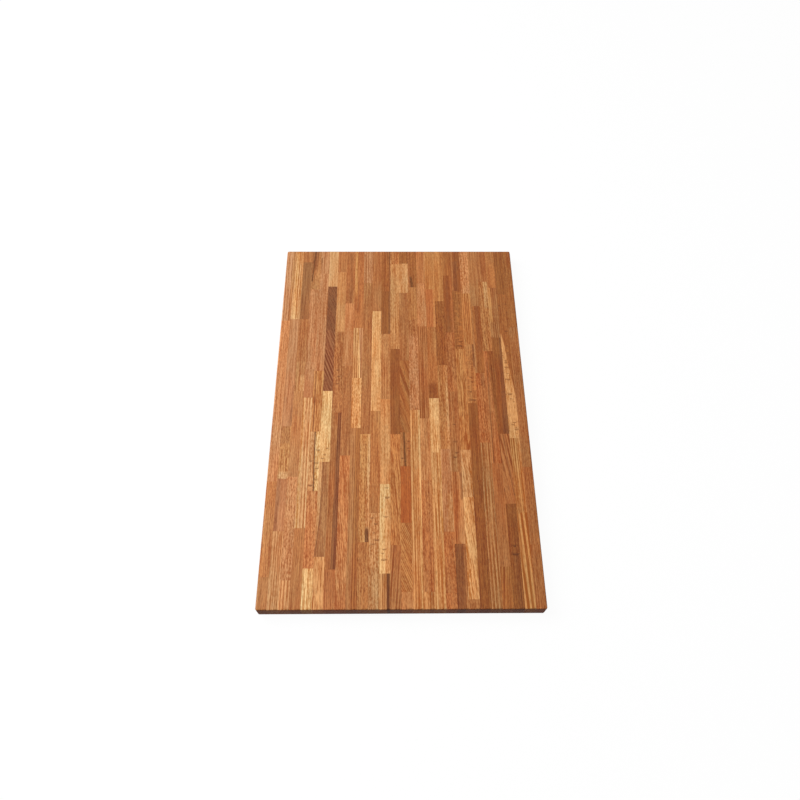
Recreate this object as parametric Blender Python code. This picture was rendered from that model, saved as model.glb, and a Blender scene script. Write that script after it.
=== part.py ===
"""Butcher block countertop: one slab glued up from rows of oak staves that butt end to end.

Metres, +Z up. The origin is on the underside, below the middle of the slab. The rows run along Y.
The end at -Y is the near end, from which the staves are set out, and row 1 is at -X.
"""

import itertools

import bmesh
import bpy

# Driving dimensions
STAVE_WIDTH = 0.0254  # 1 in, the width of one row
ROW_COUNT = 26
BLOCK_LENGTH = 1.0668  # 42 in, along the rows
BLOCK_THICKNESS = 0.0381  # 1 1/2 in

# Edges of the finished slab
CORNER_RADIUS = 0.0048  # the four upright corners, 3/16 in
TOP_ROUNDOVER = 0.0032  # the rim of the worktop, 1/8 in
BOTTOM_ROUNDOVER = 0.0016  # the rim of the underside, 1/16 in
CORNER_SEGMENTS = 6
ROUNDOVER_SEGMENTS = 4

# Joints
GLUE_LINE = 0.0003  # between neighbouring rows
END_JOINT_WIDTH = 0.0003  # between two staves of a row
END_JOINT_DEPTH = 0.0005  # how far an end joint is cut into the faces of its row
SHORTEST_STAVE = 0.012  # an offcut shorter than this is not used at the far end

# Rough stock left on the blanks where the finished slab is planed and trimmed
PLANING_ALLOWANCE = 0.006

# Cut list of the staves, row by row from the left, each row in inches from the near end. A longer slab
# starts its row's list again, and the last stave is cut off at the far end.
INCH = 0.0254
STAVE_LENGTHS = (
    (3.0, 9.5, 19.4, 10.1),
    (7.4, 5.4, 5.8, 13.5, 9.9),
    (2.7, 10.3, 9.8, 9.3, 8.2, 1.7),
    (7.7, 14.3, 3.5, 10.8, 5.7),
    (3.8, 7.7, 6.5, 7.3, 13.3, 3.4),
    (4.9, 9.7, 8.2, 13.9, 5.3),
    (3.7, 16.5, 10.2, 8.4, 3.2),
    (15.3, 10.6, 8.4, 7.7),
    (18.4, 6.0, 6.5, 11.1),
    (6.3, 11.4, 19.5, 4.8),
    (9.2, 11.2, 12.8, 8.8),
    (3.3, 8.9, 9.6, 8.3, 5.9, 6.0),
    (6.0, 11.7, 10.4, 11.9, 2.0),
    (1.6, 6.6, 5.9, 3.8, 8.7, 9.2, 4.3, 1.9),
    (20.5, 11.5, 4.6, 5.4),
    (1.6, 11.0, 6.9, 11.6, 6.1, 4.8),
    (15.6, 6.3, 9.1, 5.3, 5.7),
    (1.5, 5.8, 8.7, 10.0, 8.6, 7.4),
    (6.1, 7.4, 9.2, 7.6, 8.0, 3.7),
    (0.9, 9.9, 5.1, 12.2, 7.9, 6.0),
    (12.6, 8.7, 7.4, 7.0, 6.3),
    (16.7, 8.3, 8.9, 8.1),
    (3.9, 10.5, 13.4, 9.6, 4.6),
    (10.1, 7.6, 11.9, 6.9, 5.5),
    (9.2, 8.0, 18.4, 6.4),
    (6.0, 8.0, 17.0, 11.0),
)

# The main tone of each row, from the left: h honey, a amber, r russet, c chestnut
ROW_TONES = "ahrhacrahrhrcrhahachcrrcha"
TONE_COLOURS = {
    "h": (0.52, 0.26, 0.10, 1.0),
    "a": (0.42, 0.18, 0.07, 1.0),
    "r": (0.34, 0.13, 0.05, 1.0),
    "c": (0.22, 0.08, 0.035, 1.0),
}
OIL_ROUGHNESS = 0.4

BLOCK_WIDTH = STAVE_WIDTH * ROW_COUNT


def clear_scene():
    for thing in list(bpy.data.objects):
        bpy.data.objects.remove(thing, do_unlink=True)


def new_object(name, bm):
    bmesh.ops.recalc_face_normals(bm, faces=bm.faces[:])
    mesh = bpy.data.meshes.new(name)
    bm.to_mesh(mesh)
    bm.free()
    thing = bpy.data.objects.new(name, mesh)
    bpy.context.collection.objects.link(thing)
    return thing


def oak(tone):
    """The oiled oak of one tone."""
    name = "oiled_oak_" + tone
    material = bpy.data.materials.get(name)
    if material:
        return material
    material = bpy.data.materials.new(name)
    material.use_nodes = True
    shader = material.node_tree.nodes["Principled BSDF"]
    shader.inputs["Base Color"].default_value = TONE_COLOURS[tone]
    shader.inputs["Roughness"].default_value = OIL_ROUGHNESS
    shader.inputs["Metallic"].default_value = 0.0
    return material


def on_rim(edge, height):
    return all(abs(vert.co.z - height) < 1e-6 for vert in edge.verts)


def round_edges(bm, edges, radius, segments):
    bmesh.ops.bevel(
        bm,
        geom=edges,
        offset=radius,
        offset_type="OFFSET",
        segments=segments,
        profile=0.5,
        affect="EDGES",
        clamp_overlap=True,
    )


def planed_slab():
    """The finished outline of the whole slab, which planes and trims every row."""
    bm = bmesh.new()
    bmesh.ops.create_cube(bm, size=1.0)
    bmesh.ops.scale(bm, vec=(BLOCK_WIDTH, BLOCK_LENGTH, BLOCK_THICKNESS), verts=bm.verts[:])
    bmesh.ops.translate(bm, vec=(0.0, 0.0, BLOCK_THICKNESS / 2), verts=bm.verts[:])
    upright = [edge for edge in bm.edges if abs(edge.verts[0].co.z - edge.verts[1].co.z) > 1e-6]
    round_edges(bm, upright, CORNER_RADIUS, CORNER_SEGMENTS)
    top_rim = [edge for edge in bm.edges if on_rim(edge, BLOCK_THICKNESS)]
    round_edges(bm, top_rim, TOP_ROUNDOVER, ROUNDOVER_SEGMENTS)
    bottom_rim = [edge for edge in bm.edges if on_rim(edge, 0.0)]
    round_edges(bm, bottom_rim, BOTTOM_ROUNDOVER, ROUNDOVER_SEGMENTS)
    slab = new_object("planed_slab", bm)
    slab.hide_render = True
    slab.display_type = "WIRE"
    return slab


def joint_places(row):
    """Where the end joints of a row lie along Y."""
    places = []
    place = -BLOCK_LENGTH / 2
    for inches in itertools.cycle(STAVE_LENGTHS[row % len(STAVE_LENGTHS)]):
        place += inches * INCH
        if place > BLOCK_LENGTH / 2 - SHORTEST_STAVE:
            return places
        places.append(place)


def strip_sections(row):
    """The blank's section and the smaller section in its end joints, as left, right, bottom and top."""
    left = -BLOCK_WIDTH / 2 + row * STAVE_WIDTH
    right = left + STAVE_WIDTH
    first = row == 0
    last = row == ROW_COUNT - 1
    blank_left = left - PLANING_ALLOWANCE if first else left + GLUE_LINE / 2
    blank_right = right + PLANING_ALLOWANCE if last else right - GLUE_LINE / 2
    face_left = left if first else blank_left
    face_right = right if last else blank_right
    blank = (blank_left, blank_right, -PLANING_ALLOWANCE, BLOCK_THICKNESS + PLANING_ALLOWANCE)
    joint = (
        face_left + END_JOINT_DEPTH,
        face_right - END_JOINT_DEPTH,
        END_JOINT_DEPTH,
        BLOCK_THICKNESS - END_JOINT_DEPTH,
    )
    return blank, joint


def section_ring(bm, y, section):
    left, right, bottom, top = section
    corners = ((left, bottom), (right, bottom), (right, top), (left, top))
    return [bm.verts.new((x, y, z)) for x, z in corners]


def strip_blank(row):
    """One row before planing: full section along each stave, and a smaller one in each end joint."""
    blank, joint = strip_sections(row)
    rough_end = BLOCK_LENGTH / 2 + PLANING_ALLOWANCE
    stations = [(-rough_end, blank)]
    for place in joint_places(row):
        near_face = place - END_JOINT_WIDTH / 2
        far_face = place + END_JOINT_WIDTH / 2
        stations += [(near_face, blank), (near_face, joint), (far_face, joint), (far_face, blank)]
    stations.append((rough_end, blank))

    bm = bmesh.new()
    rings = [section_ring(bm, y, section) for y, section in stations]
    for ring, following in zip(rings, rings[1:]):
        for corner in range(4):
            beside = (corner + 1) % 4
            bm.faces.new((ring[corner], ring[beside], following[beside], following[corner]))
    bm.faces.new(rings[0])
    bm.faces.new(rings[-1])
    return bm


def strip(row, slab):
    """One row of staves, planed to the finished slab."""
    thing = new_object(f"strip_{row + 1:02d}", strip_blank(row))
    planing = thing.modifiers.new("planing", "BOOLEAN")
    planing.operation = "INTERSECT"
    planing.solver = "EXACT"
    planing.object = slab
    thing.data.materials.append(oak(ROW_TONES[row % len(ROW_TONES)]))
    return thing


def main():
    clear_scene()
    slab = planed_slab()
    for row in range(ROW_COUNT):
        strip(row, slab)


main()
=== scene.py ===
"""Looks of the butcher block countertop: oiled oak staves, each with its own grain, tone and marks.

Every row of the slab is one piece, made of its separate staves. A stave is cut from the planed slab, and
it carries the place that it had in its log, so one solid oak recipe draws its rings, pores and rays on
the faces and on the end grain alike.
"""

import itertools
import math
import random

import bmesh
import bpy
from mathutils import Matrix, Vector


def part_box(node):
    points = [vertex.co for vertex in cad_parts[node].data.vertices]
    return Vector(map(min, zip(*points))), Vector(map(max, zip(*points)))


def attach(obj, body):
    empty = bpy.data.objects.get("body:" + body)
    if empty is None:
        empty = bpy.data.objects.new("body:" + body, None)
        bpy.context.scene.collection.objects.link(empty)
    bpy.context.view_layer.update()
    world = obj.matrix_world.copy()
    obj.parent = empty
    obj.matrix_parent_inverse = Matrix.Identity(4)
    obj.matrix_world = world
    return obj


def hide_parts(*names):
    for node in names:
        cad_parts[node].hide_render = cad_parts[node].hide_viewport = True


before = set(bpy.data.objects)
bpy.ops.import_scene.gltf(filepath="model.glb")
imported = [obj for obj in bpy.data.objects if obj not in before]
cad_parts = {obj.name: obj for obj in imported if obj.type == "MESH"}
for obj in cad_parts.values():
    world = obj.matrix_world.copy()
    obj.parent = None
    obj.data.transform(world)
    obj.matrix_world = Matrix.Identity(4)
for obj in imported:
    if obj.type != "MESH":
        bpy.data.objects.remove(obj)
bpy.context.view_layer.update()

MM = 0.001
INCH = 0.0254

# The slab, from the frame
ROW_NODES = sorted(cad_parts)
SLAB_LOW = Vector(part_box(ROW_NODES[0])[0])
SLAB_HIGH = Vector(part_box(ROW_NODES[-1])[1])
SLAB_SIZE = SLAB_HIGH - SLAB_LOW
ROW_WIDTH = SLAB_SIZE.x / len(ROW_NODES)

# Edges of the slab
CORNER_RADIUS = 4.8 * MM
TOP_ROUNDOVER = 3.2 * MM
BOTTOM_ROUNDOVER = 1.6 * MM
CORNER_SEGMENTS = 10
ROUNDOVER_SEGMENTS = 7
EASED = 0.07 * MM  # the sanded arris of each stave, which draws the joints as hairlines

# An end joint of the frame is a floor cut below a row's side face, between these depths
JOINT_FLOOR_LEAST = 0.3 * MM
JOINT_FLOOR_MOST = 0.8 * MM
JOINT_WIDTH_MOST = 2.0 * MM

# Tolerances: for two heights that are one, and for a face that lies square to an axis
SAME_HEIGHT = 1e-6
SQUARE_FACE = 0.9999

# What chance changes in each stave: the side that its pith lies on, how far off it lies beside its
# figure's own, and how far down the log it was sawn, in metres
PITH_SHARES = (0.9, 1.1)
LOG_LENGTH = 40.0
SEEDS_PER_ROW = 100  # more than any row has staves

# Tones of the oak, as linear colours
TONES = {
    "cream": (0.740, 0.393, 0.145),
    "pale_honey": (0.680, 0.304, 0.100),
    "straw": (0.600, 0.285, 0.104),
    "honey": (0.600, 0.243, 0.073),
    "wheat": (0.570, 0.243, 0.081),
    "oat": (0.525, 0.226, 0.072),
    "blush": (0.540, 0.209, 0.068),
    "apricot": (0.530, 0.186, 0.052),
    "tan": (0.510, 0.200, 0.053),
    "driftwood": (0.490, 0.210, 0.081),
    "dusty_rose": (0.480, 0.186, 0.064),
    "rose": (0.470, 0.171, 0.047),
    "amber": (0.490, 0.170, 0.041),
    "copper": (0.460, 0.140, 0.034),
    "olive": (0.430, 0.168, 0.049),
    "sienna": (0.440, 0.151, 0.037),
    "brown": (0.400, 0.140, 0.037),
    "russet": (0.405, 0.128, 0.031),
    "red": (0.395, 0.098, 0.016),
    "cocoa": (0.300, 0.106, 0.028),
    "bay": (0.355, 0.110, 0.022),
    "chestnut": (0.300, 0.083, 0.014),
    "umber": (0.250, 0.074, 0.017),
    "walnut": (0.265, 0.082, 0.023),
    "bark": (0.195, 0.056, 0.013),
    "ink": (0.150, 0.042, 0.005),
}


def figure(
    pith, lean=0.004, rise=0.002, ring=4.0, rings=0.3, stripes=0.3, dashes=0.35, speckles=0.3, rays=0.1
):
    """How a stave was sawn, and how strongly its marks show.

    pith is how far the heart of the log lies across from the stave and below it, and ring is the width of
    a year's growth, both in millimetres. lean and rise are the grain's slopes: with a positive lean its
    lines run to the left as they go away from the near end. Rings below 0 are light lines on darker wood,
    and rays below 0 are dark flecks.
    """
    return {
        "pith": Vector((pith[0], 0.0, -pith[1])) * MM,
        "lean": lean,
        "rise": rise,
        "marks": (stripes, rings, dashes),
        "growth": (ring * MM, speckles, rays),
    }


# The figures of the staves, by name
FIGURES = {
    "quiet": figure((150, 45), rings=0.12, stripes=0.15, dashes=0.15, speckles=0.25),
    "plain": figure((150, 45), rings=0.25, stripes=0.35, dashes=0.3, speckles=0.4),
    "striped": figure((110, 60), ring=4.5, rings=0.9, stripes=0.9),
    "lined": figure((130, 50), ring=6.5, rings=-2.2, stripes=0.7, speckles=0.4),
    "ribboned": figure((160, 40), 0.035, ring=10.0, rings=-3.6, stripes=0.2, speckles=0.1),
    "dashed": figure((60, 85), 0.006, 0.010, rings=0.4, stripes=0.5, dashes=1.2),
    "mottled": figure((60, 80), 0.02, 0.02, rings=0.3, stripes=0.4, dashes=0.5, speckles=0.7, rays=0.4),
    "tweed": figure((90, 70), 0.09, 0.01, rings=-0.8, stripes=0.8, dashes=0.9, speckles=0.45),
    "flecked": figure((170, 8), rings=0.2, rays=1.0),
    "spotted": figure((170, 8), rings=0.2, rays=-1.0),
    "leaning": figure((190, 60), 0.4, 0.02, ring=7.5, rings=-4.2, stripes=0.3, dashes=0.6, speckles=0.5),
    "hatched": figure((190, 60), 0.42, 0.02, rings=1.0, stripes=0.6, speckles=0.5),
    "drifting": figure((160, 60), 0.14, 0.01, ring=10.0, rings=1.0, stripes=0.5),
    "wedged": figure((160, 60), 0.3, 0.01, ring=16.0, rings=-1.2, stripes=0.5),
    "slanting": figure((150, 60), -0.07, 0.004, ring=6.0, rings=-2.4, stripes=0.9),
}

# The side of its line that a band lies on
LEFT = -1
RIGHT = 1

# The attributes that carry a stave's pin knots, and a knot so far beside it that nothing of it shows
KNOTS = ("knot_1", "knot_2", "knot_3", "knot_4", "knot_5", "knot_6")
NO_KNOT = (9.0, 9.0, 0.1)


def stave(tone, sawn, band=None, streak=None, knots=()):
    """One stave's tone and figure, and its band of a second tone, its streak and its knots, if any.

    A pin knot is (across, along, size): across in stave widths from the middle, along in inches from the
    near end of the stave, and size, its reach to each side, in stave widths. There are at most six.
    """
    return {"tone": tone, "sawn": sawn, "band": band, "streak": streak, "knots": knots}


def band(tone, at_near, at_far, side=RIGHT, start=-1.0, end=2.0, bow=0.0):
    """A second tone on one side of a line from at_near to at_far, in stave widths from the middle.

    start and end are shares of the stave's length, and a band that isn't given them runs past both ends.
    bow is how far the line, and the stave's streak with it, bends to the right half way along the stave,
    in stave widths.
    """
    return {"tone": tone, "line": (at_near, at_far, side), "reach": (start, end, bow)}


def streak(across, start, end, width=0.1, lean=0.0, depth=0.9, tone="ink"):
    """A streak of another tone along a stave, from start to end in shares of the stave's length.

    across is where its middle starts and width is its reach to each side, both in stave widths. lean is
    how many stave widths it would drift to the right from the near end to the far end.
    """
    return {"tone": tone, "place": (across, start, end), "look": (width, lean, depth)}


# The staves, row by row from the left, and in each row from the near end
STAVES = (
    # Row 1
    (
        stave("sienna", "quiet"),
        stave("amber", "plain"),
        stave("blush", "plain"),
        stave("driftwood", "striped", band=band("olive", 0.2, 0.3)),
    ),
    # Row 2
    (
        stave("wheat", "striped"),
        stave("dusty_rose", "quiet", streak=streak(-0.28, 0.0, 1.1, width=0.24, depth=0.5, tone="umber")),
        stave(
            "tan",
            "mottled",
            band=band("straw", -0.6, -0.6, end=0.12),
            streak=streak(-0.1, 0.66, 1.1, width=0.8, depth=0.42, tone="umber"),
        ),
        stave("dusty_rose", "quiet", streak=streak(0.4, 0.05, 0.35, width=0.2, depth=0.5, tone="umber")),
        stave("straw", "striped", streak=streak(-0.15, -0.1, 1.1, width=0.18, depth=0.6, tone="cream")),
    ),
    # Row 3
    (
        stave("wheat", "lined"),
        stave("blush", "mottled"),
        stave("rose", "quiet"),
        stave(
            "olive",
            "plain",
            band=band("straw", -0.1, 0.6, end=0.2),
            streak=streak(0.0, 0.4, 1.1, width=1.5, depth=0.7, tone="brown"),
        ),
        stave("cocoa", "quiet"),
        stave("brown", "quiet"),
    ),
    # Row 4
    (
        stave("sienna", "quiet"),
        stave(
            "wheat",
            "lined",
            band=band("straw", 0.36, 0.36),
            streak=streak(-0.34, -0.1, 1.1, width=0.12, depth=0.7, tone="cream"),
        ),
        stave("dusty_rose", "quiet"),
        stave("dusty_rose", "plain"),
        stave(
            "olive",
            "plain",
            band=band("cocoa", 0.15, 0.25, LEFT, start=0.5),
            streak=streak(-0.4, 0.2, 1.1, width=0.12, lean=0.3),
        ),
    ),
    # Row 5
    (
        stave("cream", "lined"),
        stave("apricot", "mottled"),
        stave(
            "wheat",
            "mottled",
            band=band("cream", 0.05, 0.0),
            streak=streak(0.08, -0.1, 1.1, width=0.09, lean=-0.12),
            knots=(
                (-0.3, 3.2, 0.24), (-0.25, 0.6, 0.34), (0.2, 1.2, 0.26),
                (0.3, 4.4, 0.3), (0.25, 3.0, 0.28), (0.25, 2.4, 0.2),
            ),
        ),
        stave("tan", "dashed", streak=streak(-0.3, -0.1, 1.1, width=0.12, depth=0.6, tone="umber")),
        stave("dusty_rose", "plain"),
        stave("dusty_rose", "quiet", streak=streak(-0.4, 0.45, 0.7, width=0.12, depth=0.6)),
    ),
    # Row 6
    (
        stave("honey", "dashed"),
        stave(
            "brown",
            "plain",
            band=band("wheat", -0.55, -0.2, LEFT, bow=0.18),
            streak=streak(-0.52, -0.1, 1.1, width=0.07, lean=0.35, depth=0.7, tone="umber"),
        ),
        stave(
            "cream",
            "plain",
            streak=streak(0.25, -0.1, 1.1, width=0.2, depth=0.5, tone="cream"),
            knots=((0.0, 0.8, 0.25), (0.25, 1.5, 0.2), (-0.2, 0.4, 0.2)),
        ),
        stave("walnut", "leaning", streak=streak(0.0, 0.56, 1.1, width=1.5, depth=0.85, tone="bark")),
        stave("straw", "quiet"),
    ),
    # Row 7
    (
        stave("copper", "quiet"),
        stave(
            "sienna",
            "striped",
            band=band("umber", 0.0, 0.15),
            streak=streak(-0.4, 0.6, 1.1, width=0.2, depth=0.5, tone="olive"),
        ),
        stave("brown", "mottled", knots=((0.0, 3.5, 0.2), (0.1, 4.4, 0.2), (-0.1, 5.2, 0.25))),
        stave("oat", "quiet"),
        stave("brown", "quiet"),
    ),
    # Row 8
    (
        stave("apricot", "tweed", band=band("copper", 0.6, 0.6, LEFT, end=0.1)),
        stave("brown", "plain"),
        stave("blush", "quiet"),
        stave(
            "russet",
            "plain",
            streak=streak(0.12, 0.0, 0.95, width=0.3, lean=-0.05, depth=0.6, tone="umber"),
        ),
    ),
    # Row 9
    (
        stave("bay", "striped", band=band("brown", 0.0, 0.0, LEFT)),
        stave("pale_honey", "mottled"),
        stave(
            "oat",
            "striped",
            band=band("driftwood", 0.35, 0.05),
            streak=streak(0.3, -0.1, 1.1, lean=-0.3, depth=0.8, tone="cream"),
        ),
        stave(
            "russet",
            "plain",
            band=band("tan", -0.2, -0.2, LEFT, start=0.4),
            streak=streak(-0.1, 0.2, 0.6, depth=0.6, tone="umber"),
        ),
    ),
    # Row 10
    (
        stave("sienna", "mottled"),
        stave(
            "tan",
            "mottled",
            band=band("wheat", 0.1, 0.3),
            streak=streak(0.28, -0.1, 0.12, width=0.24),
        ),
        stave("brown", "plain"),
        stave("dusty_rose", "plain"),
    ),
    # Row 11
    (
        stave(
            "wheat",
            "mottled",
            band=band("straw", 0.15, 0.6),
            streak=streak(0.0, -0.1, 0.42, width=1.5, depth=0.5, tone="olive"),
            knots=(
                (-0.2, 8.7, 0.24), (0.15, 8.1, 0.26), (-0.05, 7.2, 0.2),
                (0.15, 6.5, 0.3), (-0.1, 6.1, 0.2),
            ),
        ),
        stave("sienna", "plain"),
        stave("pale_honey", "plain"),
        stave("brown", "quiet"),
    ),
    # Row 12
    (
        stave("oat", "striped", streak=streak(0.32, -0.1, 1.1, width=0.2)),
        stave(
            "pale_honey",
            "plain",
            band=band("cream", 0.0, 0.0, LEFT),
            streak=streak(0.0, 0.84, 1.1, width=1.5, depth=0.95, tone="cream"),
            knots=(
                (0.15, 8.5, 0.2), (0.18, 7.5, 0.36), (0.1, 5.5, 0.3),
                (-0.1, 2.3, 0.26), (-0.2, 1.9, 0.22), (-0.1, 1.3, 0.34),
            ),
        ),
        stave("honey", "plain"),
        stave("rose", "plain"),
        stave("chestnut", "quiet", band=band("umber", 0.3, 0.3)),
        stave("bay", "plain", band=band("umber", 0.35, 0.35)),
    ),
    # Row 13
    (
        stave("russet", "slanting"),
        stave("amber", "tweed"),
        stave("chestnut", "quiet"),
        stave("oat", "plain"),
        stave("rose", "mottled"),
    ),
    # Row 14
    (
        stave("apricot", "plain"),
        stave("amber", "hatched"),
        stave("red", "quiet"),
        stave(
            "sienna",
            "spotted",
            streak=streak(0.0, -0.1, 1.1, width=0.13, lean=-0.12),
            knots=((0.3, 2.8, 0.24), (0.4, 1.7, 0.2), (-0.3, 0.9, 0.2)),
        ),
        stave("bay", "wedged"),
        stave("brown", "plain"),
        stave("straw", "plain"),
        stave("bay", "plain"),
    ),
    # Row 15
    (
        stave("honey", "striped", streak=streak(0.4, -0.1, 1.1, width=0.12, depth=0.6, tone="cream")),
        stave("dusty_rose", "mottled", band=band("brown", 0.6, 0.6, LEFT, start=0.82)),
        stave("sienna", "plain"),
        stave(
            "bay",
            "plain",
            band=band("russet", -0.3, -0.3, LEFT),
            streak=streak(0.05, -0.1, 0.28, width=0.22, lean=-0.6, depth=0.8),
        ),
    ),
    # Row 16
    (
        stave("honey", "lined", streak=streak(0.25, -0.1, 1.1, width=0.24, depth=0.6, tone="bay")),
        stave("copper", "mottled"),
        stave("apricot", "plain", streak=streak(0.1, 0.5, 1.1, width=0.3, depth=0.5, tone="brown")),
        stave("russet", "striped"),
        stave("blush", "plain"),
        stave("copper", "quiet", streak=streak(0.4, -0.1, 1.1, width=0.14, depth=0.5, tone="honey")),
    ),
    # Row 17
    (
        stave("honey", "lined", streak=streak(0.42, -0.1, 1.1, depth=0.6, tone="cream")),
        stave("pale_honey", "plain", streak=streak(0.1, -0.1, 1.1, width=1.2, depth=0.3, tone="cream")),
        stave("sienna", "plain", band=band("chestnut", 0.6, 0.6, LEFT, end=0.2)),
        stave("copper", "quiet", band=band("honey", 0.25, 0.3)),
        stave("tan", "quiet"),
    ),
    # Row 18
    (
        stave("copper", "mottled"),
        stave("copper", "mottled"),
        stave("dusty_rose", "plain", streak=streak(0.3, 0.0, 0.45, width=0.42, depth=0.6, tone="straw")),
        stave("sienna", "mottled", band=band("wheat", 0.2, 0.3)),
        stave("chestnut", "mottled"),
        stave("tan", "quiet"),
    ),
    # Row 19
    (
        stave("umber", "plain", band=band("brown", 0.25, 0.3)),
        stave(
            "apricot",
            "striped",
            band=band("copper", 0.0, 0.0, LEFT),
            streak=streak(0.42, 0.6, 1.0, width=0.2, tone="umber"),
        ),
        stave(
            "russet",
            "plain",
            band=band("brown", 0.1, 0.1, LEFT),
            knots=((0.0, 5.3, 0.25), (0.0, 3.3, 0.3), (0.1, 2.1, 0.25), (-0.1, 1.6, 0.25)),
        ),
        stave("russet", "mottled"),
        stave(
            "chestnut",
            "quiet",
            band=band("russet", 0.25, 0.25),
            streak=streak(-0.1, 0.0, 0.9, width=0.2, depth=0.6, tone="umber"),
        ),
        stave("bay", "quiet"),
    ),
    # Row 20
    (
        stave("russet", "mottled"),
        stave("honey", "tweed", band=band("pale_honey", 0.0, 0.0, LEFT)),
        stave("wheat", "tweed"),
        stave("amber", "dashed"),
        stave("bay", "flecked", knots=((0.0, 0.4, 0.4), (0.1, 0.95, 0.3))),
        stave(
            "chestnut",
            "quiet",
            band=band("brown", -0.3, -0.35, LEFT),
            streak=streak(-0.05, 0.0, 0.75, width=0.35, depth=0.7, tone="umber"),
        ),
    ),
    # Row 21
    (
        stave("chestnut", "plain"),
        stave("chestnut", "quiet"),
        stave(
            "sienna",
            "flecked",
            band=band("umber", 0.3, 0.3, start=0.6),
            knots=((0.0, 3.2, 0.32), (0.1, 2.6, 0.24), (-0.15, 1.4, 0.2), (0.1, 0.4, 0.36)),
        ),
        stave("amber", "striped"),
        stave("blush", "mottled"),
    ),
    # Row 22
    (
        stave("olive", "lined"),
        stave("copper", "mottled", streak=streak(0.2, 0.8, 1.1, width=0.3, depth=0.5, tone="umber")),
        stave(
            "bay",
            "plain",
            band=band("olive", -0.3, -0.35, LEFT),
            streak=streak(0.1, 0.3, 1.1, width=0.3, depth=0.6, tone="umber"),
        ),
        stave("olive", "quiet"),
    ),
    # Row 23
    (
        stave("bay", "slanting"),
        stave("russet", "quiet"),
        stave(
            "copper",
            "plain",
            band=band("chestnut", 0.5, -0.1),
            streak=streak(-0.3, -0.1, 0.9, width=0.09, lean=0.1, depth=0.7, tone="umber"),
        ),
        stave("sienna", "mottled", band=band("oat", 0.05, 0.05, start=0.62)),
        stave("russet", "quiet"),
    ),
    # Row 24
    (
        stave(
            "chestnut",
            "plain",
            streak=streak(0.2, -0.1, 0.5, width=0.35, lean=-0.2, depth=0.5, tone="umber"),
            knots=((0.05, 5.1, 0.42), (0.0, 5.9, 0.34)),
        ),
        stave("russet", "drifting", streak=streak(0.45, 0.1, 1.0, lean=-0.7, depth=0.7, tone="umber")),
        stave("chestnut", "quiet", band=band("umber", -0.1, 0.3)),
        stave("brown", "striped", band=band("tan", -0.1, -0.2, LEFT, start=0.3)),
        stave("sienna", "plain"),
    ),
    # Row 25
    (
        stave("tan", "ribboned"),
        stave("tan", "striped", band=band("honey", 0.3, 0.3)),
        stave(
            "bay",
            "spotted",
            band=band("pale_honey", 1.05, -0.95, LEFT, end=0.68),
            knots=(
                (-0.2, 9.1, 0.26), (-0.15, 8.5, 0.32), (-0.1, 7.0, 0.34),
                (-0.05, 5.2, 0.28), (0.15, 1.8, 0.22), (0.28, 1.0, 0.34),
            ),
        ),
        stave("chestnut", "quiet"),
    ),
    # Row 26
    (
        stave("russet", "plain"),
        stave("russet", "plain"),
        stave("brown", "plain"),
        stave("bay", "plain"),
    ),
)

# The photograph's camera, from the slab's four corners in its 800-pixel frame
PHOTO_SIDE = 800
FOCAL_PIXELS = 690
SENSOR_WIDTH = 36.0
CAMERA_SHIFT = 0.05  # of the frame, as the photograph is a crop
CAMERA_ACROSS = -0.0180
CAMERA_BEFORE_SLAB = 0.3863
CAMERA_HEIGHT = 1.5915
CAMERA_PITCH = math.radians(62.21)
CAMERA_YAW = math.radians(1.21)
CAMERA_ROLL = math.radians(0.93)

# Noises of the wood: cells a metre across the grain, along it and up through the slab, and the number of
# finer layers on top
WANDER = ((9, 1.5, 9), 2.0)
RIPPLE = ((70, 6, 70), 1.0)
CLOUDS = ((22, 3, 22), 2.0)
DRIFT = ((26, 6, 26), 1.0)
PATCHES = ((34, 9, 34), 1.0)
FIBRES = ((460, 10, 460), 5.0)
DASHES = ((450, 38, 450), 4.0)
SPECKLES = ((430, 130, 430), 3.0)
PORES = ((1700, 80, 1700), 0.0)
KNOT_RAGS = ((190, 190, 190), 1.0)

# Noises round the pith. Ring spacing and stripes have cells a metre outwards from it, a radian round it
# and a metre along it. Rays are thin sheets: cells a metre round it at HEART_RADIUS, outwards and along.
RING_SPACING = ((60, 0, 0), 1.0)
STRIPES = ((200, 5, 0.9), 2.0)
RAYS = ((620, 45, 170), 1.5)
HEART_RADIUS = 0.1

# How widely wander and ripple swing the wood aside, and ring spacing a ring outwards
WANDER_REACH = 9 * MM
RIPPLE_REACH = 1.2 * MM
RING_SPACING_REACH = 5 * MM

# Where a noise turns into a mark: it begins to show at the first value, and is whole at the second
STRIPE_EDGES = (0.32, 0.68)
PORE_EDGES = (0.56, 0.66)
RAY_EDGES = (0.54, 0.64)
SPOT_EDGES = (0.63, 0.70)
PATCH_EDGES = (0.3, 0.7)
DRIFT_EDGES = (0.3, 0.7)

# One ring: the shares of its width over which the porous early wood comes and goes, and about its mean
EARLY_COMES = (0.0, 0.10)
EARLY_GOES = (0.25, 0.65)
EARLY_MEAN = 0.38
LATE_PORES = 0.25  # the pores of the late wood, beside 1 in the early wood
FAINTEST_RINGS = 0.15  # of the strength in the stave's figure, in the patches where rings hardly show
STRONGEST_RINGS = 1.05

# How far each mark swings the wood's shade, and the shades that are its pale and its deep tone
SHADE_SWINGS = {"stripes": 1.0, "fibres": 3.2, "dashes": 4.2, "speckles": 5.4, "clouds": 0.7}
MIDDLE_SHADE = 0.5
SHADE_ENDS = (-0.6, 1.6)

# How each part of the grain changes the stave's tone
PALE = (1.35, 1.62, 2.00)
DEEP = (0.65, 0.42, 0.15)
REDDER = (1.02, 0.95, 0.86, 1.0)
YELLOWER = (0.97, 1.06, 1.10, 1.0)
FLECK = (1.55, 1.65, 1.85)
SPOT = (0.42, 0.34, 0.26)
PORE = (0.30, 0.22, 0.16)
# the end grain's own darkness from the oil, deepened by painted shade
END_GRAIN_AND_PAINTED_SHADE = (0.27, 0.19, 0.13)

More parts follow.
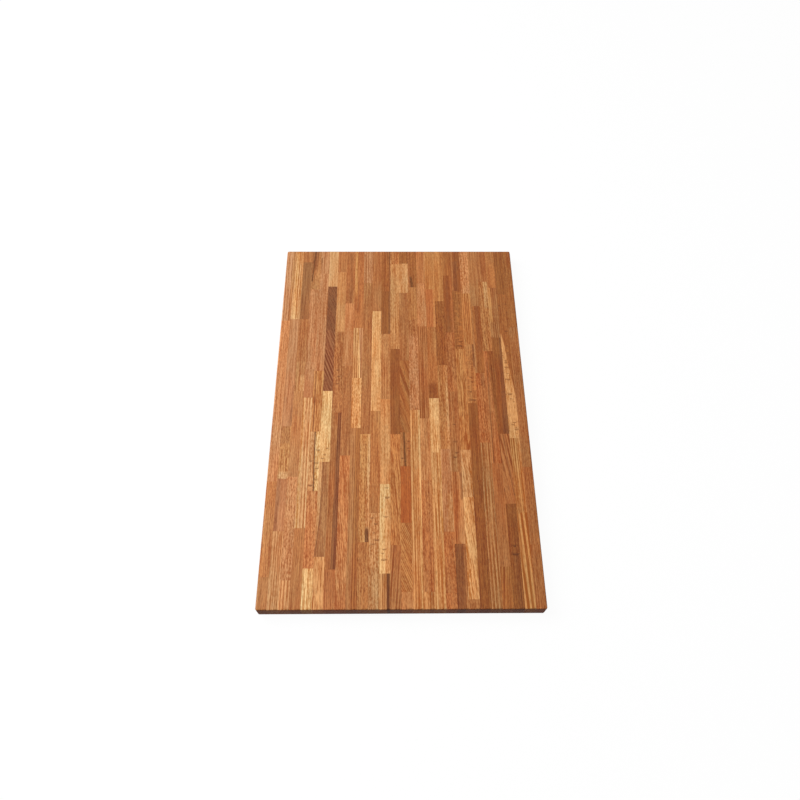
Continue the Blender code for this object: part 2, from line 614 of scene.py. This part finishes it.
# How much of the wood's colour each mark takes where it is strongest
LIGHT_RAY_SHARE = 0.45
DARK_RAY_SHARE = 0.7
KNOT_SHARE = 0.88
PORE_SHARE = 0.55

# Bands and streaks: how widely they waver and where a band's line is soft, in stave widths, how soft their
# ends are, in shares of the stave's length, and between which shares of its reach a streak fades out
EDGE_WAVER = 0.12
BAND_LINE = (-0.05, 0.05)
BAND_END = 0.04
STREAK_END = 0.03
STREAK_SIDE = (0.35, 1.0)

# A pin knot, in shares of its own size
KNOT_FLATNESS = 0.52  # its length along the stave for each width across
KNOT_CURL = 0.4  # how far its ends curl towards the far end
KNOT_RIM = (0.45, 1.05)  # it fades out between these distances from its middle
KNOT_RAGGED = 1.6  # how ragged the rim is
KNOT_FAR_SIDE = (-0.3, 0.5)  # between these distances along the stave it grows fainter
KNOT_FAR_LOSS = 0.6  # how much of it is lost by the far side

# End grain begins where a face turns this much towards the slab's ends, and is whole at the second value
END_GRAIN_TURN = (0.5, 0.9)

# Roughness of the oiled wood, and what its marks and its end grain add to it
ROUGHNESS = 0.34
ROUGHER = {"pores": 0.25, "fibres": 0.20, "rays": -0.05}
ROUGHER_END_GRAIN = 0.30
SPECULAR = 0.25

# Relief of the marks, in millimetres
RELIEF = {"pores": -0.10, "early": -0.012, "fibres": 0.020, "rays": 0.006}

# The studio: a floor that is mostly glow to the camera, a dim white world and one soft window
WHITE = (1.0, 1.0, 1.0, 1.0)
SEEING_RAYS = ("Is Camera Ray", "Is Glossy Ray", "Is Transmission Ray")
FLOOR_SIDE = 30.0
FLOOR_GAP = 0.2 * MM  # below the slab, so that their faces don't lie in one plane
FLOOR_GREY = (0.6, 0.6, 0.6, 1.0)
FLOOR_ROUGHNESS = 0.9
FLOOR_GLOW = 1.05
FLOOR_GLOW_SHARE = 0.90
DIM_WORLD = 0.46
WINDOW_PLACE = Vector((-2.2, 0.7, 2.3))
WINDOW_SIDE = 2.4
WINDOW_POWER = 102.0


class Recipe:
    """The nodes of one material. Each call adds one step and returns its result."""

    def __init__(self, name):
        self.material = bpy.data.materials.new(name)
        self.material.use_nodes = True
        self.tree = self.material.node_tree
        self.shader = self.tree.nodes["Principled BSDF"]

    def feed(self, socket, value):
        if isinstance(value, bpy.types.NodeSocket):
            self.tree.links.new(value, socket)
        else:
            socket.default_value = value

    def step(self, kind, *inputs, output=0, **settings):
        node = self.tree.nodes.new(kind)
        for name, value in settings.items():
            setattr(node, name, value)
        for place, value in enumerate(inputs):
            self.feed(node.inputs[place], value)
        return node.outputs[output]

    def attribute(self, name):
        return self.step("ShaderNodeAttribute", output="Vector", attribute_name=name)

    def maths(self, operation, *inputs):
        return self.step("ShaderNodeMath", *inputs, operation=operation)

    def total(self, first, *others):
        for other in others:
            first = self.maths("ADD", first, other)
        return first

    def product(self, first, *others):
        for other in others:
            first = self.maths("MULTIPLY", first, other)
        return first

    def less(self, whole, part):
        return self.maths("SUBTRACT", whole, part)

    def rest(self, share):
        """What a share leaves of 1."""
        return self.less(1.0, share)

    def length(self, across, up):
        return self.maths("SQRT", self.total(self.product(across, across), self.product(up, up)))

    def weighed(self, marks, weights):
        """The sum of some marks, each times its own weight."""
        return self.total(*[self.product(marks[name], weight) for name, weight in weights.items()])

    def vectors(self, operation, *inputs):
        return self.step("ShaderNodeVectorMath", *inputs, operation=operation)

    def tinted(self, colour, tint):
        return self.vectors("MULTIPLY", colour, tint)

    def split(self, vector):
        node = self.tree.nodes.new("ShaderNodeSeparateXYZ")
        self.feed(node.inputs[0], vector)
        return node.outputs[0], node.outputs[1], node.outputs[2]

    def vector(self, x, y, z):
        return self.step("ShaderNodeCombineXYZ", x, y, z)

    def fade(self, value, low, high):
        """0 at low, 1 at high, and smooth between them."""
        node = self.tree.nodes.new("ShaderNodeMapRange")
        node.interpolation_type = "SMOOTHSTEP"
        for name, given in (("Value", value), ("From Min", low), ("From Max", high)):
            self.feed(node.inputs[name], given)
        return node.outputs[0]

    def within(self, value, start, end, soft):
        """1 between start and end and 0 beyond them, fading over the soft stretch at each."""
        begun = self.fade(value, self.less(start, soft), self.total(start, soft))
        ended = self.fade(value, self.less(end, soft), self.total(end, soft))
        return self.product(begun, self.rest(ended))

    def blend(self, low, high, share):
        node = self.tree.nodes.new("ShaderNodeMix")
        node.data_type = "FLOAT"
        self.feed(node.inputs[0], share)
        self.feed(node.inputs[2], low)
        self.feed(node.inputs[3], high)
        return node.outputs[0]

    def colours(self, low, high, share):
        node = self.tree.nodes.new("ShaderNodeMix")
        node.data_type = "RGBA"
        self.feed(node.inputs[0], share)
        self.feed(node.inputs[6], low)
        self.feed(node.inputs[7], high)
        return node.outputs[2]

    def noise(self, place, cells, layers, output=0):
        """Blender's noise, with its own number of cells a metre along each axis of the place."""
        node = self.tree.nodes.new("ShaderNodeTexNoise")
        self.feed(node.inputs["Vector"], self.vectors("MULTIPLY", place, cells))
        node.inputs["Scale"].default_value = 1.0
        node.inputs["Detail"].default_value = layers
        return node.outputs[output]

    def push(self, place, noise, reach):
        """A shift that changes smoothly from place to place, by up to half its reach along each axis."""
        shift = self.vectors("SUBTRACT", self.noise(place, *noise, output=1), (0.5, 0.5, 0.5))
        shift = self.vectors("SCALE", shift)
        shift.node.inputs["Scale"].default_value = reach
        return shift


def log_place(make):
    """A point's place in its log, its distance from the pith, and its angle round it and place along it."""
    place = make.attribute("grain")
    grown = make.vectors("ADD", place, make.push(place, WANDER, WANDER_REACH))
    grown = make.vectors("ADD", grown, make.push(place, RIPPLE, RIPPLE_REACH))
    across, along, up = make.split(grown)
    return place, make.length(across, up), make.maths("ARCTAN2", across, up), along


def oak_marks(make, ring_width):
    """What shows at a point of the log: its rings, stripes, fibres, pores, rays and so on, from 0 to 1."""
    place, radius, turn, along = log_place(make)
    spacing = make.noise(make.vector(radius, 0.0, 0.0), *RING_SPACING)
    grown = make.total(radius, make.product(spacing, RING_SPACING_REACH))
    phase = make.maths("FRACT", make.maths("DIVIDE", grown, ring_width))
    early = make.product(make.fade(phase, *EARLY_COMES), make.rest(make.fade(phase, *EARLY_GOES)))
    pores = make.fade(make.noise(place, *PORES), *PORE_EDGES)
    sheets = make.noise(make.vector(make.product(turn, HEART_RADIUS), radius, along), *RAYS)
    return {
        "early": early,
        "stripes": make.fade(make.noise(make.vector(radius, turn, along), *STRIPES), *STRIPE_EDGES),
        "fibres": make.noise(place, *FIBRES),
        "dashes": make.noise(place, *DASHES),
        "speckles": make.noise(place, *SPECKLES),
        "clouds": make.noise(place, *CLOUDS),
        "drift": make.fade(make.noise(place, *DRIFT), *DRIFT_EDGES),
        "patches": make.fade(make.noise(place, *PATCHES), *PATCH_EDGES),
        "pores": make.product(pores, make.blend(LATE_PORES, 1.0, early)),
        "rays": make.fade(sheets, *RAY_EDGES),
        "spots": make.fade(sheets, *SPOT_EDGES),
    }


def swing(make, mark, strength, reach):
    """How far a mark that is around one half pushes a value, at its strength in the stave."""
    return make.product(make.less(mark, 0.5), strength, reach)


def edge_waver(make, along, clouds):
    """How far the edges of bands and streaks lie to the left here, where they waver or are bowed."""
    _, _, bow = make.split(make.attribute("band_reach"))
    arch = make.product(along, make.rest(along), 4.0)  # 1 half way along the stave and 0 at its ends
    return make.less(swing(make, clouds, 1.0, EDGE_WAVER), make.product(bow, arch))


def band_share(make, across, along, waver):
    """How far a point lies in its stave's band of another tone."""
    at_near, at_far, side = make.split(make.attribute("band_line"))
    start, end, _ = make.split(make.attribute("band_reach"))
    line = make.blend(at_near, at_far, along)
    beyond = make.product(make.less(make.total(across, waver), line), side)
    return make.product(make.fade(beyond, *BAND_LINE), make.within(along, start, end, BAND_END))


def streak_share(make, across, along, waver):
    """How strong the stave's streak is at a point."""
    middle, start, end = make.split(make.attribute("streak_place"))
    width, lean, depth = make.split(make.attribute("streak_look"))
    line = make.total(middle, make.product(lean, make.less(along, start)))
    off = make.maths("ABSOLUTE", make.less(make.total(across, waver), line))
    body = make.rest(make.fade(make.maths("DIVIDE", off, width), *STREAK_SIDE))
    return make.product(body, make.within(along, start, end, STREAK_END), depth)


def knot_share(make, across, inches):
    """How dark the stave's pin knots are at a point: flat crescents, darkest at their near side.

    A knot's size is in stave widths, which are about an inch, so it measures along the stave too.
    """
    ragged = swing(make, make.noise(make.attribute("grain"), *KNOT_RAGS), 1.0, KNOT_RAGGED)
    deepest = 0.0
    for knot in KNOTS:
        middle, place, size = make.split(make.attribute(knot))
        beside = make.maths("DIVIDE", make.less(across, middle), size)
        beyond = make.maths("DIVIDE", make.less(inches, place), make.product(size, KNOT_FLATNESS))
        beyond = make.less(beyond, make.product(beside, beside, KNOT_CURL))
        body = make.rest(make.fade(make.total(make.length(beside, beyond), ragged), *KNOT_RIM))
        near_side = make.rest(make.product(make.fade(beyond, *KNOT_FAR_SIDE), KNOT_FAR_LOSS))
        deepest = make.maths("MAXIMUM", deepest, make.product(body, near_side))
    return deepest


def oak_shade(make, marks, speckled, streaked):
    """How far the wood is from its pale tone to its deep tone."""
    striped, ringed, dashed = make.split(make.attribute("marks"))

    # The rings show here more and there less, and they drown in a streak
    patchy = make.blend(FAINTEST_RINGS, STRONGEST_RINGS, marks["patches"])
    showing = make.product(patchy, make.rest(streaked))
    shade = make.total(
        MIDDLE_SHADE,
        make.product(make.less(marks["early"], EARLY_MEAN), ringed, showing),
        swing(make, marks["stripes"], striped, SHADE_SWINGS["stripes"]),
        swing(make, marks["fibres"], 1.0, SHADE_SWINGS["fibres"]),
        swing(make, marks["dashes"], dashed, SHADE_SWINGS["dashes"]),
        swing(make, marks["speckles"], speckled, SHADE_SWINGS["speckles"]),
        swing(make, marks["clouds"], 1.0, SHADE_SWINGS["clouds"]),
    )
    return make.fade(shade, *SHADE_ENDS)


def oiled_oak():
    """Oiled red oak: tone by stave, solid grain, open pores and darker end grain, deepened by painted
    shade.
    """
    make = Recipe("oiled_oak")
    across, along, inches = make.split(make.attribute("place"))
    ring_width, speckled, rayed = make.split(make.attribute("growth"))
    marks = oak_marks(make, ring_width)

    # The tone here, with the stave's band and streak
    waver = edge_waver(make, along, marks["clouds"])
    banded = band_share(make, across, along, waver)
    streaked = streak_share(make, across, along, waver)
    tone = make.colours(make.attribute("tone"), make.attribute("band_tone"), banded)
    tone = make.colours(tone, make.attribute("streak_tone"), streaked)
    tone = make.tinted(tone, make.colours(REDDER, YELLOWER, marks["drift"]))

    # The grain
    shade = oak_shade(make, marks, speckled, streaked)
    wood = make.colours(make.tinted(tone, PALE), make.tinted(tone, DEEP), shade)

    # Rays, lighter where the figure's rays are above 0 and darker where they are below it
    light_rays = make.product(marks["rays"], make.maths("MAXIMUM", rayed, 0.0), LIGHT_RAY_SHARE)
    dark_rays = make.product(marks["spots"], make.maths("MINIMUM", rayed, 0.0), -DARK_RAY_SHARE)
    wood = make.colours(wood, make.tinted(tone, FLECK), light_rays)
    wood = make.colours(wood, make.tinted(tone, SPOT), dark_rays)

    # Knots, and the pores, which hold the darkest oil
    knots = make.product(knot_share(make, across, inches), KNOT_SHARE)
    wood = make.colours(wood, make.tinted(tone, SPOT), knots)
    wood = make.colours(wood, make.tinted(tone, PORE), make.product(marks["pores"], PORE_SHARE))

    # End grain drinks the oil and is darker, and painted shade darkens it further, so it is about a quarter
    # as light
    _, facing, _ = make.split(make.step("ShaderNodeTexCoord", output="Normal"))
    end_grain_and_shade = make.fade(make.maths("ABSOLUTE", facing), *END_GRAIN_TURN)
    wood = make.colours(wood, make.tinted(wood, END_GRAIN_AND_PAINTED_SHADE), end_grain_and_shade)
    make.feed(make.shader.inputs["Base Color"], wood)

    rougher = make.total(make.weighed(marks, ROUGHER), make.product(end_grain_and_shade, ROUGHER_END_GRAIN))
    make.feed(make.shader.inputs["Roughness"], make.total(ROUGHNESS, rougher))
    make.shader.inputs["Specular IOR Level"].default_value = SPECULAR

    bump = make.tree.nodes.new("ShaderNodeBump")
    bump.inputs["Distance"].default_value = MM
    make.feed(bump.inputs["Height"], make.weighed(marks, RELIEF))
    make.feed(make.shader.inputs["Normal"], bump.outputs[0])
    return make.material


def round_edges(bm, edges, radius, segments):
    bmesh.ops.bevel(
        bm,
        geom=edges,
        offset=radius,
        offset_type="OFFSET",
        segments=segments,
        profile=0.5,
        affect="EDGES",
        material=-1,
        clamp_overlap=True,
    )


def edges_at(bm, height):
    def is_there(vert):
        return abs(vert.co.z - height) < SAME_HEIGHT

    return [edge for edge in bm.edges if all(is_there(vert) for vert in edge.verts)]


def planed_slab():
    """The finished slab, with its rounded corners and rims, that every stave is cut from."""
    bm = bmesh.new()
    bmesh.ops.create_cube(bm, size=1.0)
    bmesh.ops.scale(bm, vec=SLAB_SIZE, verts=bm.verts[:])
    bmesh.ops.translate(bm, vec=(SLAB_LOW + SLAB_HIGH) / 2, verts=bm.verts[:])
    upright = [edge for edge in bm.edges if abs(edge.verts[0].co.z - edge.verts[1].co.z) > MM]
    round_edges(bm, upright, CORNER_RADIUS, CORNER_SEGMENTS)
    round_edges(bm, edges_at(bm, SLAB_HIGH.z), TOP_ROUNDOVER, ROUNDOVER_SEGMENTS)
    round_edges(bm, edges_at(bm, SLAB_LOW.z), BOTTOM_ROUNDOVER, ROUNDOVER_SEGMENTS)
    bm.faces.layers.int.new("joint")
    return bm


def saw(bm, axis, cut, side):
    """Saws bm across an axis, drops what lies on one side of the cut, and closes it with a joint face."""
    place = Vector((0, 0, 0))
    place[axis] = cut
    way = Vector((0, 0, 0))
    way[axis] = side
    everything = bm.verts[:] + bm.edges[:] + bm.faces[:]
    sawn = bmesh.ops.bisect_plane(bm, geom=everything, plane_co=place, plane_no=way, clear_outer=True)
    rim = [part for part in sawn["geom_cut"] if isinstance(part, bmesh.types.BMEdge)]
    joint = bm.faces.layers.int["joint"]
    for face in bmesh.ops.edgeloop_fill(bm, edges=rim)["faces"]:
        face[joint] = 1


def end_joints(number):
    """Where the staves of a row meet, from the floors of the joints in its frame node."""
    low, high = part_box(ROW_NODES[number])
    last = number == len(ROW_NODES) - 1
    glued_side = low.x if last else high.x
    floors = sorted(
        vert.co.y
        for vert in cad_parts[ROW_NODES[number]].data.vertices
        if JOINT_FLOOR_LEAST < abs(vert.co.x - glued_side) < JOINT_FLOOR_MOST
    )
    joints = []
    for place in floors:
        if not joints or place - joints[-1][0] > JOINT_WIDTH_MOST:
            joints.append([])
        joints[-1].append(place)
    return [(joint[0] + joint[-1]) / 2 for joint in joints]


def note(bm, name, value):
    """Writes a value on every vertex, which may be a function of the vertex's place."""
    layer = bm.verts.layers.float_vector.new(name)
    for vert in bm.verts:
        vert[layer] = value(vert.co) if callable(value) else value


def note_looks(bm, looks, middle, length, seed):
    """Writes on a stave what its recipe reads: its place in the log and its tones and marks."""
    sawn = FIGURES[looks["sawn"]]
    chance = random.Random(seed)
    side = chance.choice((-1, 1))
    pith = Vector(sawn["pith"])
    pith.x *= side * chance.uniform(*PITH_SHARES)
    pith.z *= chance.uniform(*PITH_SHARES)
    down_the_log = chance.uniform(0.0, LOG_LENGTH)

    def in_log(point):
        off = point - middle
        across = pith.x + off.x + off.y * sawn["lean"]
        up = -pith.z + off.z + off.y * sawn["rise"]
        return Vector((across, off.y + down_the_log, up))

    def in_stave(point):
        along = (point.y - middle.y) / length + 0.5
        return Vector(((point.x - middle.x) / ROW_WIDTH, along, along * length / INCH))

    # A stave without a band or a streak has one of its own tone that reaches nowhere
    side_band = looks["band"] or band(looks["tone"], 0.0, 0.0, start=0.0, end=0.0)
    mineral = looks["streak"] or streak(0.0, 0.0, 0.0, width=1.0, depth=0.0, tone=looks["tone"])
    note(bm, "grain", in_log)
    note(bm, "place", in_stave)
    note(bm, "tone", TONES[looks["tone"]])
    note(bm, "marks", sawn["marks"])
    note(bm, "growth", sawn["growth"])
    note(bm, "band_tone", TONES[side_band["tone"]])
    note(bm, "band_line", side_band["line"])
    note(bm, "band_reach", side_band["reach"])
    note(bm, "streak_tone", TONES[mineral["tone"]])
    note(bm, "streak_place", mineral["place"])
    note(bm, "streak_look", mineral["look"])
    for name, knot in itertools.zip_longest(KNOTS, looks["knots"], fillvalue=NO_KNOT):
        note(bm, name, knot)


def sawn_stave(slab, sides, ends, looks, seed):
    """One stave cut from the slab, with its joint edges eased and its looks written on it."""
    bm = slab.copy()
    for axis, cuts in enumerate((sides, ends)):
        for side, cut in zip((-1, 1), cuts):
            if SLAB_LOW[axis] + MM < cut < SLAB_HIGH[axis] - MM:
                saw(bm, axis, cut, side)
    joint = bm.faces.layers.int["joint"]
    arrises = [edge for edge in bm.edges if sum(face[joint] for face in edge.link_faces) == 1]
    round_edges(bm, arrises, EASED, 1)
    bmesh.ops.recalc_face_normals(bm, faces=bm.faces[:])
    for face in bm.faces:
        face.smooth = max(abs(part) for part in face.normal) < SQUARE_FACE
    middle = Vector(((sides[0] + sides[1]) / 2, (ends[0] + ends[1]) / 2, SLAB_HIGH.z / 2))
    note_looks(bm, looks, middle, ends[1] - ends[0], seed)
    return bm


def row_of_staves(number, slab, oak):
    """One row of the slab: its staves, end to end, as one piece that stands for its frame node."""
    left = SLAB_LOW.x + ROW_WIDTH * number
    right = SLAB_LOW.x + ROW_WIDTH * (number + 1)
    ends = [SLAB_LOW.y, *end_joints(number), SLAB_HIGH.y]
    row = bmesh.new()
    for place, looks in enumerate(STAVES[number % len(STAVES)]):
        seed = number * SEEDS_PER_ROW + place
        cut = sawn_stave(slab, (left, right), ends[place:place + 2], looks, seed)
        loose = bpy.data.meshes.new("stave")
        cut.to_mesh(loose)
        cut.free()
        row.from_mesh(loose)
        bpy.data.meshes.remove(loose)
    name = f"row_{number + 1:02d}"
    mesh = bpy.data.meshes.new(name)
    row.to_mesh(mesh)
    row.free()
    mesh.materials.append(oak)
    piece = bpy.data.objects.new(name, mesh)
    bpy.context.collection.objects.link(piece)
    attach(piece, "root")
    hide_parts(ROW_NODES[number])


def white_floor():
    """A plain pale floor, which the camera sees as white apart from the slab's soft shadow."""
    bpy.ops.mesh.primitive_plane_add(size=FLOOR_SIDE, location=(0, 0, SLAB_LOW.z - FLOOR_GAP))
    floor = bpy.context.object
    floor.name = "floor"
    make = Recipe("floor_white")
    make.shader.inputs["Base Color"].default_value = FLOOR_GREY
    make.shader.inputs["Roughness"].default_value = FLOOR_ROUGHNESS
    glow = make.tree.nodes.new("ShaderNodeEmission")
    glow.inputs["Strength"].default_value = FLOOR_GLOW
    seen = make.total(*[make.step("ShaderNodeLightPath", output=ray) for ray in SEEING_RAYS])
    mix = make.tree.nodes.new("ShaderNodeMixShader")
    make.feed(mix.inputs[0], make.product(seen, FLOOR_GLOW_SHARE))
    make.feed(mix.inputs[1], make.shader.outputs[0])
    make.feed(mix.inputs[2], glow.outputs[0])
    make.feed(make.tree.nodes["Material Output"].inputs["Surface"], mix.outputs[0])
    floor.data.materials.append(make.material)


def white_world():
    """White to the camera, and a dim even light to everything else."""
    world = bpy.data.worlds.new("studio")
    world.use_nodes = True
    bpy.context.scene.world = world
    nodes = world.node_tree.nodes
    links = world.node_tree.links
    background = nodes["Background"]
    background.inputs["Color"].default_value = WHITE
    path = nodes.new("ShaderNodeLightPath")
    level = nodes.new("ShaderNodeMapRange")
    level.inputs["To Min"].default_value = DIM_WORLD
    seen = path.outputs[SEEING_RAYS[0]]
    for ray in SEEING_RAYS[1:]:
        either = nodes.new("ShaderNodeMath")
        either.operation = "ADD"
        links.new(seen, either.inputs[0])
        links.new(path.outputs[ray], either.inputs[1])
        seen = either.outputs[0]
    links.new(seen, level.inputs["Value"])
    links.new(level.outputs[0], background.inputs["Strength"])


def soft_window():
    """One large soft light, high at the left and turned to the middle of the slab."""
    light = bpy.data.lights.new("window_left", "AREA")
    light.shape = "SQUARE"
    light.size = WINDOW_SIDE
    light.energy = WINDOW_POWER
    lamp = bpy.data.objects.new("window_left", light)
    lamp.location = WINDOW_PLACE
    lamp.rotation_euler = (-WINDOW_PLACE).to_track_quat("-Z", "Y").to_euler()
    bpy.context.collection.objects.link(lamp)


def photo_camera():
    """The photograph's camera: above the near end, looking down the rows, turned and rolled a little."""
    camera = bpy.data.cameras.new("photo_camera")
    camera.sensor_fit = "HORIZONTAL"
    camera.sensor_width = SENSOR_WIDTH
    camera.lens = SENSOR_WIDTH * FOCAL_PIXELS / PHOTO_SIDE
    camera.shift_y = CAMERA_SHIFT
    forward = Vector((
        math.sin(CAMERA_YAW) * math.cos(CAMERA_PITCH),
        math.cos(CAMERA_YAW) * math.cos(CAMERA_PITCH),
        -math.sin(CAMERA_PITCH),
    ))
    level = Vector((math.cos(CAMERA_YAW), -math.sin(CAMERA_YAW), 0.0))
    upward = level.cross(forward)
    right = math.cos(CAMERA_ROLL) * level + math.sin(CAMERA_ROLL) * upward
    up = math.cos(CAMERA_ROLL) * upward - math.sin(CAMERA_ROLL) * level
    turned = Matrix((right, up, -forward)).transposed().to_4x4()
    place = Vector((CAMERA_ACROSS, SLAB_LOW.y - CAMERA_BEFORE_SLAB, SLAB_LOW.z + CAMERA_HEIGHT))
    shot = bpy.data.objects.new("photo_camera", camera)
    shot.matrix_world = Matrix.Translation(place) @ turned
    bpy.context.collection.objects.link(shot)
    bpy.context.scene.camera = shot


photo_camera()
slab = planed_slab()
oak = oiled_oak()
for number in range(len(ROW_NODES)):
    row_of_staves(number, slab, oak)
slab.free()
white_floor()
white_world()
soft_window()
bpy.context.scene.view_settings.view_transform = "Standard"
